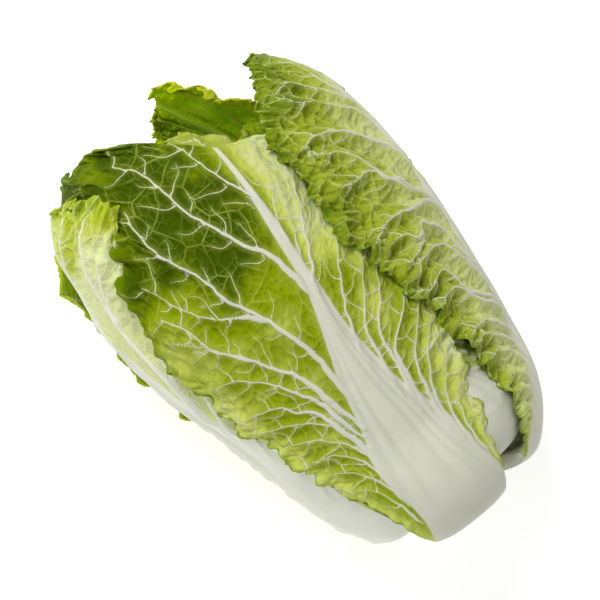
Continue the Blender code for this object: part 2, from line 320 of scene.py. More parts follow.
def flat_place(u, v, leaf):
    """Where a place of the leaf's grid lies on the leaf spread flat: across from the rib, and along it."""
    points, at, lengths = layer_profile(leaf["layer"])
    length = leaf["reach"] * np.interp(1.0, at, lengths)
    out = np.abs(v)
    side = np.clip(u / SIDE_SHARE, 0, 1)
    round_tip = np.clip((u - SIDE_SHARE) / (1 - SIDE_SHARE), 0, 1) * TIP_ANGLE
    along = WIDEST_AT * side + (1 - WIDEST_AT) * np.sin(round_tip) / math.sin(TIP_ANGLE)
    width = np.where(u < SIDE_SHARE, side ** leaf["swell"], np.cos(round_tip) ** leaf["blunt"])
    for lobe_side, lobe_at, lobe_width, lobe_size in leaf["lobes"]:
        lobe = lobe_size * np.exp(-((u - lobe_at) / lobe_width) ** 2)
        width = width + np.where(np.sign(v) == lobe_side, lobe, 0)
    widest = np.where(v < 0, leaf["low"], leaf["high"])
    layer_radius = smooth_line(points, np.interp(length * along, lengths, at))[..., 0]
    clasp = np.where(v < 0, *leaf["clasp"]) * layer_radius
    half = np.where(u < SIDE_SHARE, clasp + (widest - clasp) * width, widest * width)
    root = np.interp(u, ROWS_AT, ROW_ROOTS) + leaf["full"] * smooth_step(0.9, 1.0, u)
    teeth = sum(share * waves(u * ROUGH_LENGTH, np.sign(v) * 0.2, size, leaf["seed"] + n)
                for n, (size, share) in enumerate(NICKS))
    nick = 0.6 * leaf["frill"] * smooth_step(0.12, 0.3, u) * teeth
    t = np.sign(v) * (half + nick * out ** 8) * out
    s = length * leaf["cut"] * (root + (along - root) * out ** 0.85)
    ears = sum(size * np.exp(-((t - ear_at) / EAR_WIDTH) ** 2) for ear_at, size in leaf["ears"])
    ears = ears * smooth_step(0.60, 0.95, s / length)
    return t, s + leaf["slant"] * t * smooth_step(0.45, 0.9, s / length) + ears, length


def row_veins(leaf):
    """Side veins along the leaf's rows, each with a fork, as rows of (across, along, half width)."""
    draw = np.random.default_rng(leaf["seed"] + 5)
    curves = []
    for side in leaf["plain_sides"]:
        for number in range(1, leaf["veins"]):
            start = (number + draw.uniform(-0.25, 0.25) + 0.2 * side) / leaf["veins"]
            strength = leaf["vein"] * draw.uniform(0.75, 1.05)
            fork = draw.choice((-1, 1))
            branches = ((0.02, 0.25 * fork, 1.0), (draw.uniform(0.35, 0.55), -0.42 * fork, 0.6))
            for first, bow, width in branches:
                out = np.linspace(first, VEIN_REACH, VEIN_PLACES)
                beyond = np.clip((out - first) / (VEIN_REACH - first), 0, 1)
                main = start + 0.10 * fork / leaf["veins"] * np.clip(out, 0, 1) ** 2
                wiggle = 0.0016 * np.sin(22 * out + number)
                u = np.clip(main + bow / leaf["veins"] * beyond ** 1.3 + wiggle, 0, 1)
                t, s, length = flat_place(u, side * out, leaf)
                half = strength * width * (1.0 - 0.72 * smooth_step(0.1, 1.0, out))
                curves.append(np.stack([t, s, half], -1))
    return curves


def drawn_veins(rows, half):
    """Smooth curves through a few places, in millimetres on the flat leaf, that thin towards their ends."""
    curves = []
    for width, *places in rows:
        at = np.linspace(0, 1, 9 * len(places))
        line = smooth_line(np.array(places, float) / 1000, at)
        line = line + 0.0004 * np.column_stack([waves(line[:, 0], line[:, 1], 0.009, n) for n in (3, 4)])
        taper = (0.35 + np.exp(-4 * at)) * (1 - 0.6 * at) * (0.3 + 0.7 * smooth_step(0, 0.12, at))
        curves.append(np.column_stack([line, half * width * taper]))
    return curves


def with_twigs(curves, seed, spacing, reach):
    """The side veins with fine branches to both sides, that bend towards the vein's end."""
    draw = np.random.default_rng(seed)
    grown = list(curves)
    way = np.linspace(0, 1, TWIG_PLACES)
    for curve in curves:
        along = np.concatenate([[0], np.cumsum(np.hypot(*np.diff(curve[:, :2], axis=0).T))])
        place, side = max(spacing, 0.28 * along[-1]), draw.choice((-1, 1))
        while place < along[-1]:
            n = np.searchsorted(along, place)
            heading = np.arctan2(*(curve[n, :2] - curve[n - 1, :2])[::-1])
            turn = heading + side * (1.25 - 0.85 * way) + 0.28 * np.sin(8 * way + draw.uniform(0, 6))
            stride = reach * draw.uniform(0.5, 1.3) / (TWIG_PLACES - 1)
            step = stride * np.column_stack([np.cos(turn), np.sin(turn)])
            points = curve[n, :2] + np.cumsum(step, axis=0) - step[0]
            grown.append(np.column_stack([points, TWIG_HALF - (TWIG_HALF - TWIG_END) * way]))
            place, side = place + spacing * draw.uniform(0.6, 1.4), -side
    return grown


def vein_field(t, s, curves):
    """The nearest vein of each place: how far its edge is, its middle to one side or the other, its half
    width. Also the veins' ridges."""
    clear = np.full(t.shape, VEIN_FAR)
    beside = np.full(t.shape, VEIN_FAR)
    thick = np.zeros(t.shape)
    ridge = np.zeros(t.shape)
    for curve in curves:
        low, high = curve[:, :2].min(axis=0) - VEIN_SEARCH, curve[:, :2].max(axis=0) + VEIN_SEARCH
        here = (t > low[0]) & (t < high[0]) & (s > low[1]) & (s < high[1])
        if not here.any():
            continue
        place = np.stack([t[here], s[here]], -1)[:, None]
        start, step = curve[:-1, :2], np.diff(curve[:, :2], axis=0)
        share = np.clip(((place - start) * step).sum(-1) / np.maximum((step ** 2).sum(-1), 1e-12), 0, 1)
        off = place - start - share[..., None] * step
        apart = np.linalg.norm(off, axis=-1)
        half = curve[:-1, 2] + share * np.diff(curve[:, 2])
        best = (apart - half).argmin(axis=1)
        pick = (np.arange(len(best)), best)
        apart, half, off = apart[pick], half[pick], off[pick]
        side = np.sign(step[best, 0] * off[:, 1] - step[best, 1] * off[:, 0])
        closer = apart - half < clear[here]
        clear[here] = np.where(closer, apart - half, clear[here])
        beside[here] = np.where(closer, side * apart, beside[here])
        thick[here] = np.where(closer, half, thick[here])
        ridge[here] = np.maximum(ridge[here], half * np.exp(-(apart / (half + 0.0005)) ** 2))
    return clear, beside, thick, ridge


def leaf_faces(leaf, rows, columns):
    """The outer and the inner face of a leaf as two grids, and what its look needs at each place."""
    points, at, lengths = layer_profile(leaf["layer"])
    seed = leaf["seed"]
    u = np.linspace(0, 1, rows)[:, None] + np.zeros((1, columns))
    v = np.linspace(-1, 1, columns)[None, :] + np.zeros((rows, 1))
    out = np.abs(v)
    t, s, length = flat_place(u, v, leaf)
    x = s / length

    # The rib, the side veins, and the net of small veins between them.
    rib_tables = np.array([leaf["middle"], leaf["white"]]).T / 1000
    middle_t, white = np.moveaxis(smooth_line(rib_tables, np.clip(x, 0, 1)), -1, 0)
    curves = drawn_veins(leaf["drawn"], leaf["vein"]) + row_veins(leaf)
    main_clear = vein_field(t, s, curves)[0]
    grown = with_twigs(curves, seed + 8, *leaf["twigs"])
    side_clear, beside, thick, ridge = vein_field(t, s, grown)
    rib_clear = np.abs(t - middle_t) - white * (1 + 0.05 * waves(s, 0 * s, 0.05, seed + 20))
    at_margin = smooth_step(0.90, 1.0, out)
    on_blade = smooth_step(-0.001, 0.004, rib_clear)
    net_t = (t + NET_WARP * waves(t, s, NET_WARP_SIZE, seed + 6)) / leaf["cell"]
    net_s = (s + NET_WARP * waves(t, s, NET_WARP_SIZE, seed + 7)) / leaf["cell"] * NET_SQUEEZE
    coarse = cell_edges(net_t, net_s)
    fine = cell_edges(net_t * FINE_NET, net_s * FINE_NET)
    bowl = smooth_step(0.0, 0.32, coarse) + 0.35 * smooth_step(0.0, 0.35, fine) - 0.5
    bowl = bowl * on_blade * smooth_step(0.0, 0.0030, side_clear)
    hollow = 1 - 2 * np.exp(-(np.maximum(np.minimum(main_clear, rib_clear), 0) / 0.0045) ** 2)
    pillow = np.exp(-(np.maximum(side_clear, 0) / 0.0016) ** 2)

    # The blade's folds, the ruffle at its margin and its uneven lie.
    relief = -leaf["wave"] * hollow * smooth_step(0.05, 0.4, out) * smooth_step(0.05, 0.2, u)
    relief = relief * (0.4 + 0.4 * out)
    relief = relief + leaf["pucker"] * (0.5 * pillow * on_blade - bowl) * (0.45 + 0.9 * out ** 2)
    frill = sum(
        share * waves(u * ROUGH_LENGTH + slide * out, np.sign(v) * apart + drift * out, size, seed + n)
        for share, size, slide, apart, drift, n in FRILL_WAVES
    )
    relief = relief + leaf["frill"] * frill * (smooth_step(0.70, 1.0, out) * smooth_step(0.12, 0.40, u))
    relief = relief + 0.0008 * waves(t, s, 0.045, seed + 3) * smooth_step(0.1, 0.4, out)

    # Its place on the shell: curled, flared, dropped, and turned round the head.
    line = smooth_line(points, np.interp(s, lengths, at))
    curl = leaf["curl"] * smooth_step(0.72, 1.10, x) ** 1.5
    flare = np.where(v > 0, leaf["flare"], leaf["low_flare"])
    flare = flare * smooth_step(leaf["flare_from"], leaf["flare_from"] + 0.30, u)
    flare = flare * np.clip(np.abs(t) / np.where(v > 0, leaf["high"], leaf["low"]), 0, 1.1) ** 3
    bulge = leaf["bulge"] * np.exp(-((x - 0.15) / 0.13) ** 2 - ((t - 0.010) / 0.034) ** 4)
    radius = line[..., 0] + relief + curl + flare + bulge
    height = line[..., 1] - leaf["drop"] * (1 - smooth_step(0.0, 0.30, x))
    bend = np.radians(leaf["turn"] + leaf["lean"] * smooth_step(0.25, 0.85, x))
    angle = bend + t / np.maximum(line[..., 0], 0.030)
    squash = 1 - (1 - FLATNESS) * smooth_step(ROUND_UP_TO, FLAT_FROM, height)
    middle = lying(radius * np.sin(angle), height, radius * np.cos(angle) * squash)

    # The thick rib with its long soft ridges, and the raised veins.
    half = RIB_HALF_WIDTH * (1 - 0.90 * smooth_step(0.20, 0.55, x)) * (1 - 0.5 * smooth_step(0.5, 1.0, x))
    half = half * (1 + 0.25 * (1 - smooth_step(0.0, 0.25, x)))
    rib_height = (1 - 0.72 * smooth_step(0.15, 0.60, x)) * (1 - 0.8 * smooth_step(0.6, 1.0, x))
    rib = (RIB_THICKNESS - THINNER_PER_LAYER * leaf["layer"]) * rib_height
    rib = rib * np.exp(-((t - 0.4 * middle_t) / half) ** 4)
    across_rib = (t - middle_t) / white
    strands = np.sin(STRANDS * across_rib + 2.6 * waves(across_rib, 4 * s, 1.3, seed + 10))
    strands = strands * smooth_step(0.001, -0.004, rib_clear)
    strands = strands * smooth_step(0.07, 0.34, x) * smooth_step(0.62, 0.40, x)
    across = np.cross(np.gradient(middle, axis=1), np.gradient(middle, axis=0))
    normal = across / np.maximum(np.linalg.norm(across, axis=-1, keepdims=True), 1e-12)
    raised = leaf["raised"] * ridge * (1 - 0.7 * smooth_step(-0.001, -0.008, rib_clear))
    lift_out = BLADE_THICKNESS / 2 + RIB_OUT * rib + STRAND_HEIGHT * strands + raised
    lift_in = BLADE_THICKNESS / 2 + (1 - RIB_OUT) * rib - 0.3 * raised
    outer = middle + normal * lift_out[..., None] + PLACE
    inner = middle - normal * lift_in[..., None] + PLACE
    outer[..., 2] = np.maximum(outer[..., 2], 0)
    inner[..., 2] = np.maximum(inner[..., 2], 0.9 * BLADE_THICKNESS + rib * 0.98)

    # The marks that the material reads. Distances are in millimetres.
    marks = dict(
        rib=(rib_clear * leaf["sharp"] + 0.0003 + 0.0014 * at_margin) * 1000,
        clear=side_clear * 1000,
        beside=beside * 1000,
        thick=thick * (1 - at_margin) * 1000,
        tone=leaf["tone"](t * 1000, s * 1000, x, out) + 0.10 * waves(t, s, 0.04, seed + 11),
        edge=out,
        net=np.stack([net_t, net_s, 0 * s], -1),
        groove=np.clip(0.5 - 0.5 * strands, 0, 1),
    )
    return outer, inner, marks


def add_marks(mesh, marks, again):
    """The marks at each vertex. Those of the grid come first, then some of them again for the rest."""
    for key, values in marks.items():
        flat = values.reshape(values.shape[0] * values.shape[1], -1)
        both = np.concatenate([flat, flat[again]]).reshape(-1)
        kind, field = ("FLOAT_VECTOR", "vector") if flat.shape[1] == 3 else ("FLOAT", "value")
        mesh.attributes.new(key, kind, "POINT").data.foreach_set(field, both)


def leaf_piece(node_name, slot_name, colours, rows, columns, coarser=2, **own):
    """A closed leaf: both faces, the inner one coarser where it is hidden, and the rim between them."""
    leaf = {**PLAIN_LEAF, **own}
    outer, inner, marks = leaf_faces(leaf, rows, columns)
    front = np.arange(rows * columns).reshape(rows, columns)
    kept = front[::coarser, ::coarser]
    back = np.arange(kept.size).reshape(kept.shape) + front.size
    kept = kept.reshape(-1)
    quads = []
    for grid, turned in ((front, True), (back, False)):
        corners = [grid[:-1, :-1], grid[1:, :-1], grid[1:, 1:], grid[:-1, 1:]]
        quads.append(np.stack([c.reshape(-1) for c in (corners[::-1] if turned else corners)], -1))
    rims = [np.concatenate([g[:, 0], g[-1, 1:], g[-2::-1, -1], g[0, -2:0:-1]]) for g in (front, back)]
    steps = [np.roll(rims[0], -n)[::coarser] for n in range(coarser + 1)]
    band = np.stack(steps + [np.roll(rims[1], -1), rims[1]], -1)
    loops = np.concatenate([part.reshape(-1) for part in quads + [band]])
    sizes = np.concatenate([np.full(len(quads[0]) + len(quads[1]), 4), np.full(len(band), coarser + 3)])

    mesh = bpy.data.meshes.new(node_name + "_fine")
    points = np.concatenate([outer.reshape(-1, 3), inner.reshape(-1, 3)[kept]])
    mesh.vertices.add(len(points))
    mesh.vertices.foreach_set("co", points.reshape(-1))
    mesh.loops.add(len(loops))
    mesh.loops.foreach_set("vertex_index", loops)
    mesh.polygons.add(len(sizes))
    mesh.polygons.foreach_set("loop_start", np.concatenate([[0], np.cumsum(sizes)[:-1]]))
    mesh.update(calc_edges=True)
    mesh.shade_smooth()
    add_marks(mesh, marks, kept)

    # The bake map: the outer face on its left, the inner one on its right, and the rim as a strip round
    # the first.
    centre, border = np.array((0.25, 0.5)), 0.012
    across, up = np.meshgrid(np.linspace(-1, 1, columns), np.linspace(-1, 1, rows))
    left = np.stack([across, up], -1).reshape(-1, 2)
    beyond = left * np.where(np.abs(left) > 0.9999, 1 + border * 2, 1)
    both = np.concatenate([left, left[kept]]) * (centre - border) + centre
    both[front.size:, 0] += 0.5
    coordinates = both[loops]
    on_rim = np.arange(len(loops)) >= len(loops) - band.size
    rim_back = on_rim & (loops >= front.size)
    source = kept[loops[rim_back] - front.size]
    coordinates[rim_back] = beyond[source] * (centre - border) + centre
    mesh.uv_layers.new(name="OFBake").data.foreach_set("uv", coordinates.reshape(-1))
    finish_piece(mesh, node_name, leaf_material(mesh.name, colours, leaf["through"]))


def finish_piece(mesh, node_name, material):
    piece = add_object(mesh.name, mesh)
    mesh.materials.append(material)
    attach(piece, "root")
    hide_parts(node_name)


def group_with(name, inputs, outputs):
    tree = bpy.data.node_groups.new(name, "ShaderNodeTree")
    for label, kind in inputs:
        tree.interface.new_socket(label, in_out="INPUT", socket_type="NodeSocket" + kind)
    for label, kind in outputs:
        tree.interface.new_socket(label, in_out="OUTPUT", socket_type="NodeSocket" + kind)
    return tree, tree.nodes.new("NodeGroupInput"), tree.nodes.new("NodeGroupOutput")


def node(tree, kind, inputs=(), **settings):
    """A node with its settings; each input is a value or a socket to link."""
    made = tree.nodes.new(kind)
    for key, value in settings.items():
        setattr(made, key, value)
    for key, value in dict(inputs).items():
        if isinstance(value, bpy.types.NodeSocket):
            tree.links.new(value, made.inputs[key])
        else:
            made.inputs[key].default_value = value
    return made


def mixed(tree, factor, first, second):
    return node(tree, "ShaderNodeMix", {0: factor, 6: first, 7: second}, data_type="RGBA").outputs[2]


def ranged(tree, value, low, high, to_low=0.0, to_high=1.0):
    """A value that goes softly from to_low at low to to_high at high, and stays there."""
    inputs = {"Value": value, "From Min": low, "From Max": high, "To Min": to_low, "To Max": to_high}
    return node(tree, "ShaderNodeMapRange", inputs, interpolation_type="SMOOTHSTEP").outputs["Result"]


def calculated(tree, operation, first, second=0.0):
    return node(tree, "ShaderNodeMath", {0: first, 1: second}, operation=operation).outputs[0]


def noise(tree, place, **inputs):
    return node(tree, "ShaderNodeTexNoise", {"Vector": place, **inputs}).outputs["Fac"]


def cell_borders(tree, place, scale):
    return node(tree, "ShaderNodeTexVoronoi", {"Vector": place, "Scale": scale},
                feature="DISTANCE_TO_EDGE", voronoi_dimensions="2D").outputs["Distance"]


def link_look(tree, shader, colour, roughness, height, strength, distance):
    bump = node(tree, "ShaderNodeBump", {"Strength": strength, "Distance": distance, "Height": height})
    tree.links.new(colour, shader.inputs["Base Color"])
    tree.links.new(roughness, shader.inputs["Roughness"])
    tree.links.new(bump.outputs["Normal"], shader.inputs["Normal"])


# The leaf group's inputs: marks with their names on the mesh, colours, and the strength of the net.
LEAF_MARKS = {"Net Place": "net", "Groove Mark": "groove", "Rib Clear": "rib", "Clear": "clear",
              "Beside": "beside", "Thick": "thick", "Tone": "tone", "Edge": "edge"}
LEAF_COLOURS = ("Pale", "Blade", "Dark", "Rib", "Groove", "Rim")


def make_leaf_group():
    """A leaf's colour, roughness and fine relief, from its tone, its veins and its flat place."""
    marks = [(label, "Vector" if key == "net" else "Float") for label, key in LEAF_MARKS.items()]
    inputs = marks + [(label, "Color") for label in LEAF_COLOURS] + [("Net", "Float")]
    outputs = (("Color", "Color"), ("Roughness", "Float"), ("Height", "Float"))
    tree, given, result = group_with("leaf_look", inputs, outputs)
    given = given.outputs
    place = given["Net Place"]

    # The net: lines and threads between cells, stronger in some patches than in others.
    wide = cell_borders(tree, place, 1.0)
    small = cell_borders(tree, place, FINE_NET)
    patch = noise(tree, place, Scale=0.7, Detail=1.0)
    line = ranged(tree, wide, 0.010, 0.050, 1.0, 0.0)
    thread = ranged(tree, small, 0.015, 0.085, 0.45, 0.0)
    lines = calculated(tree, "MAXIMUM", line, thread)
    lines = calculated(tree, "MULTIPLY", lines, ranged(tree, patch, 0.36, 0.64, 0.12, 1.0))

    # The rib and the side veins, and the paler halo beside them.
    on_rib = ranged(tree, given["Rib Clear"], -0.40, 0.35, 1.0, 0.0)
    from_middle = calculated(tree, "ABSOLUTE", given["Beside"])
    from_edge = calculated(tree, "SUBTRACT", from_middle, given["Thick"])
    on_side = calculated(tree, "MULTIPLY", ranged(tree, from_edge, -0.18, 0.16, 1.0, 0.0),
                         ranged(tree, given["Clear"], 0.7, 1.1, 1.0, 0.0))
    vein = calculated(tree, "MAXIMUM", on_rib, on_side)
    near_side = calculated(tree, "MULTIPLY", ranged(tree, given["Clear"], 0.0, 3.0, 0.45, 0.0),
                           ranged(tree, given["Thick"], 0.25, 0.8, 0.4, 1.0))
    halo = calculated(tree, "MAXIMUM", near_side, ranged(tree, given["Rib Clear"], 0.0, 3.0, 0.45, 0.0))

    # The blade, from white over pale and green to dark as its tone rises, with its rim, halo and net.
    mottle = noise(tree, place, Scale=0.9, Detail=4.0, Roughness=0.6)
    toned = calculated(tree, "ADD", given["Tone"], ranged(tree, mottle, 0.3, 0.7, -0.12, 0.12))
    colour = mixed(tree, ranged(tree, toned, -0.6, 0.0, 0.6, 0.0), given["Pale"], given["Rib"])
    colour = mixed(tree, ranged(tree, toned, 0.0, 0.5), colour, given["Blade"])
    colour = mixed(tree, ranged(tree, toned, 0.5, 1.0), colour, given["Dark"])
    colour = mixed(tree, ranged(tree, given["Edge"], 0.95, 1.0, 0.0, 0.8), colour, given["Rim"])
    colour = mixed(tree, halo, colour, mixed(tree, 0.6, colour, given["Pale"]))
    colour = mixed(tree, calculated(tree, "MULTIPLY", lines, given["Net"]), colour, given["Pale"])

    # The rib's colour: the groove colour, partly greenish streaks and partly painted shade, fills its grooves
    # and some patches. Thin veins are pale instead.
    rib = mixed(tree, ranged(tree, given["Groove Mark"], 0.40, 1.0, 0.0, 0.45), given["Rib"], given["Groove"])
    rib = mixed(tree, ranged(tree, mottle, 0.4, 0.8, 0.0, 0.3), rib, given["Groove"])
    whiteness = calculated(tree, "MAXIMUM", ranged(tree, given["Thick"], 0.10, 0.60, 0.50, 1.0), on_rib)
    colour = mixed(tree, vein, colour, mixed(tree, whiteness, given["Pale"], rib))

    # The finest relief: cells that sink at their borders, and a grain, off the veins.
    borders = calculated(tree, "ADD", ranged(tree, wide, 0.0, 0.20, 1.0, 0.0),
                         ranged(tree, small, 0.0, 0.30, 0.7, 0.0))
    grain = noise(tree, place, Scale=7.0, Detail=4.0)
    height = calculated(tree, "ADD", borders, calculated(tree, "MULTIPLY", grain, 0.5))
    height = calculated(tree, "MULTIPLY", height, calculated(tree, "SUBTRACT", 1.0, vein))
    height = calculated(tree, "ADD", height, calculated(tree, "MULTIPLY", vein, 1.2))
    tree.links.new(colour, result.inputs["Color"])
    tree.links.new(ranged(tree, grain, 0.3, 0.7, 0.38, 0.54), result.inputs["Roughness"])
    tree.links.new(height, result.inputs["Height"])
    return tree


LEAF_GROUP = make_leaf_group()


def leaf_material(name, colours, through):
    """A waxy, thin leaf in its own colours, which lets some light through."""
    material, shader = new_material(name)
    tree = material.node_tree
    look = node(tree, "ShaderNodeGroup", node_tree=LEAF_GROUP)
    for label, key in LEAF_MARKS.items():
        mark = node(tree, "ShaderNodeAttribute", attribute_name=key)
        tree.links.new(mark.outputs["Vector" if key == "net" else "Fac"], look.inputs[label])
    for label, colour in colours.items():
        look.inputs[label].default_value = colour if label == "Net" else (*colour, 1)
    link_look(tree, shader, *look.outputs, strength=0.75, distance=0.0005)
    shader.inputs["Specular IOR Level"].default_value = 0.02
    shader.inputs["Subsurface Weight"].default_value = through
    shader.inputs["Subsurface Radius"].default_value = (0.8, 1.0, 0.2)
    shader.inputs["Subsurface Scale"].default_value = 0.002
    return material


# The groove colour is partly the rib's greenish streaks, partly painted shade in its grooves.
RIB_WHITE, RIB_STREAKS_AND_SHADE = (0.73, 0.74, 0.62), (0.54, 0.58, 0.42)
# A vein is a row of its width's share and its places, in millimetres across from the rib and along.
RIGHT_VEINS = (
    (0.8, (-36, 246), (-43, 268), (-42, 281), (-37, 293), (-29, 303)),
    (0.9, (-34, 236), (-40, 255), (-51, 266), (-61, 277), (-70, 287)),
    (0.8, (-36, 232), (-46, 249), (-58, 255), (-67, 263), (-85, 275)),
    (1.2, (-38, 196), (-47, 218), (-57, 229), (-69, 238), (-78, 245), (-94, 252), (-106, 250)),
    (0.8, (-62, 194), (-76, 211), (-80, 220), (-83, 227), (-92, 237), (-106, 244)),
    (1.2, (-38, 172), (-47, 187), (-60, 195), (-67, 204), (-76, 209), (-80, 215), (-86, 219),
     (-95, 218), (-106, 220)),
    (1.1, (-36, 166), (-44, 180), (-56, 185), (-70, 186), (-84, 189), (-92, 190), (-103, 188),
     (-114, 184)),
    (1.2, (-36, 128), (-46, 148), (-53, 165), (-66, 173), (-74, 177), (-80, 169), (-88, 166), (-99, 164)),
    (0.6, (-76, 174), (-84, 172), (-89, 177), (-96, 179), (-107, 178)),
    (1.2, (-32, 118), (-40, 133), (-48, 144), (-54, 152), (-63, 159), (-75, 162), (-87, 161), (-98, 156)),
    (1.1, (-30, 102), (-39, 116), (-60, 128), (-68, 139), (-75, 148), (-86, 147), (-98, 142)),
    (1.1, (-22, 94), (-30, 107), (-53, 120), (-63, 129), (-71, 136), (-83, 136), (-92, 132)),
    (1.0, (-20, 82), (-28, 95), (-42, 101), (-60, 110), (-70, 111), (-84, 106)),
    (0.9, (-20, 68), (-28, 81), (-38, 91), (-56, 99), (-68, 104), (-78, 102)),
    (0.9, (-18, 58), (-27, 70), (-34, 78), (-45, 86), (-61, 92), (-72, 91)),
    (0.7, (-24, 52), (-33, 65), (-41, 71), (-56, 76)),
    (0.6, (-26, 46), (-34, 58), (-44, 63), (-57, 66)),
    (0.5, (-27, 34), (-35, 47), (-48, 54)),
)


def right_tone(t, s, x, out):
    near_rib = smooth_step(-78, -38, t) * smooth_step(30, 0, t) * smooth_step(0.86, 0.70, x)
    # Darker towards the margin: partly the margin's own olive, partly painted shade in its crumpled creases.
    return 0.34 - 0.62 * near_rib + 0.34 * smooth_step(0.62, 0.90, out) + 0.15 * smooth_step(0.75, 0.95, x)


leaf_piece(
    "right_leaf", "outer_leaf",
    dict(Pale=(0.64, 0.72, 0.24), Blade=(0.36, 0.45, 0.025), Dark=(0.12, 0.18, 0.001), Rib=RIB_WHITE,
         # The dark rim is partly the margin's own olive, partly painted shade in its creases.
         Groove=RIB_STREAKS_AND_SHADE, Rim=(0.20, 0.30, 0.004), Net=0.6),
    rows=401, columns=199, seed=11, tone=right_tone,
    turn=93, lean=-3, layer=0, reach=0.965, cut=0.975, drop=-0.003,
    low=0.123, high=0.080, clasp=(0.33, 0.72), swell=0.95, blunt=1.00, slant=0.08,
    lobes=((-1, 0.80, 0.13, 0.16),), curl=-0.006, low_flare=0.003,
    wave=0.0032, pucker=0.0024, frill=0.0036, cell=0.0085,
    veins=16, plain_sides=(1,), drawn=RIGHT_VEINS, vein=0.0014, raised=1.7, twigs=(0.008, 0.014),
    middle=(-4, -5, -6, -8, -14, -20, -26, -30, -32, -30, -28),
    white=(38, 34, 28, 22, 20, 18, 14, 8, 3.5, 1.6, 1), sharp=0.22,
)


# Front leaf
# The broad leaf that faces the camera. Its rib is wide and flat at the base and soon narrows to a
# line, where most of its side veins leave it. The blade darkens towards the tip, which turns over:
# partly its own deeper green, partly painted shade on its left half, with painted light on its right half.
FRONT_VEINS = (
    (0.8, (-3, 210), (-3, 234), (-9, 250), (-13, 269), (-15, 285), (-18, 297)),
    (1.3, (-2, 168), (-8, 190), (-14, 207), (-23, 219), (-29, 233), (-36, 251), (-38, 270), (-40, 290),
     (-47, 304)),
    (1.4, (-8, 96), (-14, 130), (-18, 150), (-32, 180), (-46, 201), (-52, 219), (-64, 245), (-65, 262),
     (-62, 276)),
    (0.8, (-31, 178), (-44, 190), (-58, 198), (-74, 216), (-84, 236)),
    (1.3, (-15, 98), (-25, 130), (-31, 144), (-42, 157), (-53, 171), (-69, 186), (-75, 202), (-85, 216)),
    (0.7, (-50, 167), (-61, 178), (-74, 191), (-90, 203)),
    (0.5, (-65, 183), (-72, 187), (-86, 186)),
    (1.0, (-18, 94), (-28, 125), (-36, 136), (-47, 150), (-66, 164), (-84, 168)),
    (0.9, (-18, 86), (-31, 119), (-41, 128), (-50, 137), (-64, 141), (-80, 144)),
    (0.7, (-19, 78), (-24, 99), (-32, 113), (-46, 123), (-66, 130), (-78, 133)),
    (0.6, (-20, 70), (-24, 90), (-37, 106), (-54, 114), (-68, 116)),
    (0.55, (-21, 62), (-25, 82), (-37, 95), (-54, 99), (-64, 101)),
    (0.5, (-22, 50), (-25, 68), (-37, 83), (-49, 87), (-60, 88)),
    (0.45, (-23, 38), (-27, 56), (-34, 69), (-49, 74)),
    (1.1, (0, 145), (-1, 173), (5, 190), (10, 205), (16, 218), (20, 230), (22, 244), (24, 258)),
    (0.6, (-1, 200), (0, 218), (6, 231), (13, 248), (16, 262)),
    (0.5, (1, 194), (5, 210), (10, 226), (14, 240)),
    (1.1, (5, 112), (7, 138), (10, 158), (17, 176), (26, 194), (32, 206)),
    (1.1, (12, 92), (14, 120), (15, 141), (24, 158), (31, 172), (42, 190)),
    (1.1, (17, 84), (20, 112), (21, 136), (31, 149), (37, 162), (48, 180)),
    (1.1, (20, 76), (21, 102), (25, 124), (39, 136), (54, 154), (64, 166)),
    (1.0, (24, 68), (26, 94), (31, 111), (43, 125), (56, 140), (70, 152)),
    (0.9, (26, 60), (27, 82), (33, 99), (44, 114), (58, 126), (74, 136)),
    (0.5, (41, 109), (52, 112), (62, 118)),
    (0.8, (28, 50), (29, 70), (36, 87), (48, 99), (64, 110)),
    (0.6, (31, 42), (31, 60), (38, 77), (48, 87), (62, 96)),
    (0.5, (34, 32), (34, 46), (40, 60), (52, 70)),
)


def front_tone(t, s, x, out):
    # Darker over the left half towards the tip and paler over the right half: partly the leaf's own colour,
    # partly painted shade on the left and painted light on the right.
    dark_and_shaded = smooth_step(170, 225, s) * smooth_step(3, -10, t)
    darkest_and_shaded = np.exp(-((t + 40) / 24) ** 2 - ((s - 243) / 34) ** 2)
    light = smooth_step(172, 205, s) * smooth_step(0, 10, t)
    lower_margin = smooth_step(0.70, 0.95, out) * smooth_step(135, 95, s)
    right_margin = smooth_step(28, 50, t) * smooth_step(150, 110, s)
    left_margin = smooth_step(0.60, 0.92, out) * smooth_step(235, 205, s)
    left_margin = left_margin * smooth_step(95, 135, s) * smooth_step(0, -30, t)
    tip = smooth_step(262, 285, s) * smooth_step(-10, -30, t)
    return (0.42 + 0.38 * dark_and_shaded + 0.30 * darkest_and_shaded + 0.12 * tip - 0.75 * light - 0.35 * lower_margin
            - 0.44 * left_margin - 0.06 * smooth_step(10, 30, t) - 0.40 * right_margin)


leaf_piece(
    "front_leaf", "outer_leaf",
    dict(Pale=(0.58, 0.66, 0.12), Blade=(0.26, 0.35, 0.0), Dark=(0.055, 0.10, 0.0), Rib=RIB_WHITE,
         Groove=RIB_STREAKS_AND_SHADE, Rim=(0.16, 0.26, 0.0), Net=0.36),
    rows=401, columns=199, seed=23, tone=front_tone,
    turn=-5, lean=19, layer=0.9, reach=0.915, cut=0.945, drop=0.009,
    low=0.0985, high=0.086, clasp=(0.46, 0.50), swell=1.7, blunt=0.60, slant=-0.74,
    lobes=((-1, 0.82, 0.06, 0.20), (-1, 0.700, 0.020, -0.16), (-1, 0.52, 0.10, 0.10)),
    ears=((-0.046, 0.017),),
    wave=0.0016, pucker=0.0013, frill=0.0040, cell=0.0145,
    veins=0, drawn=FRONT_VEINS, vein=0.0015, raised=1.2, twigs=(0.010, 0.018),
    middle=(6, 6, 3, 2, 0, -1, -1, -3, -3, -1, 0), white=(34, 31, 25, 21.5, 15, 8, 5, 3.6, 2.8, 1.8, 1),
)
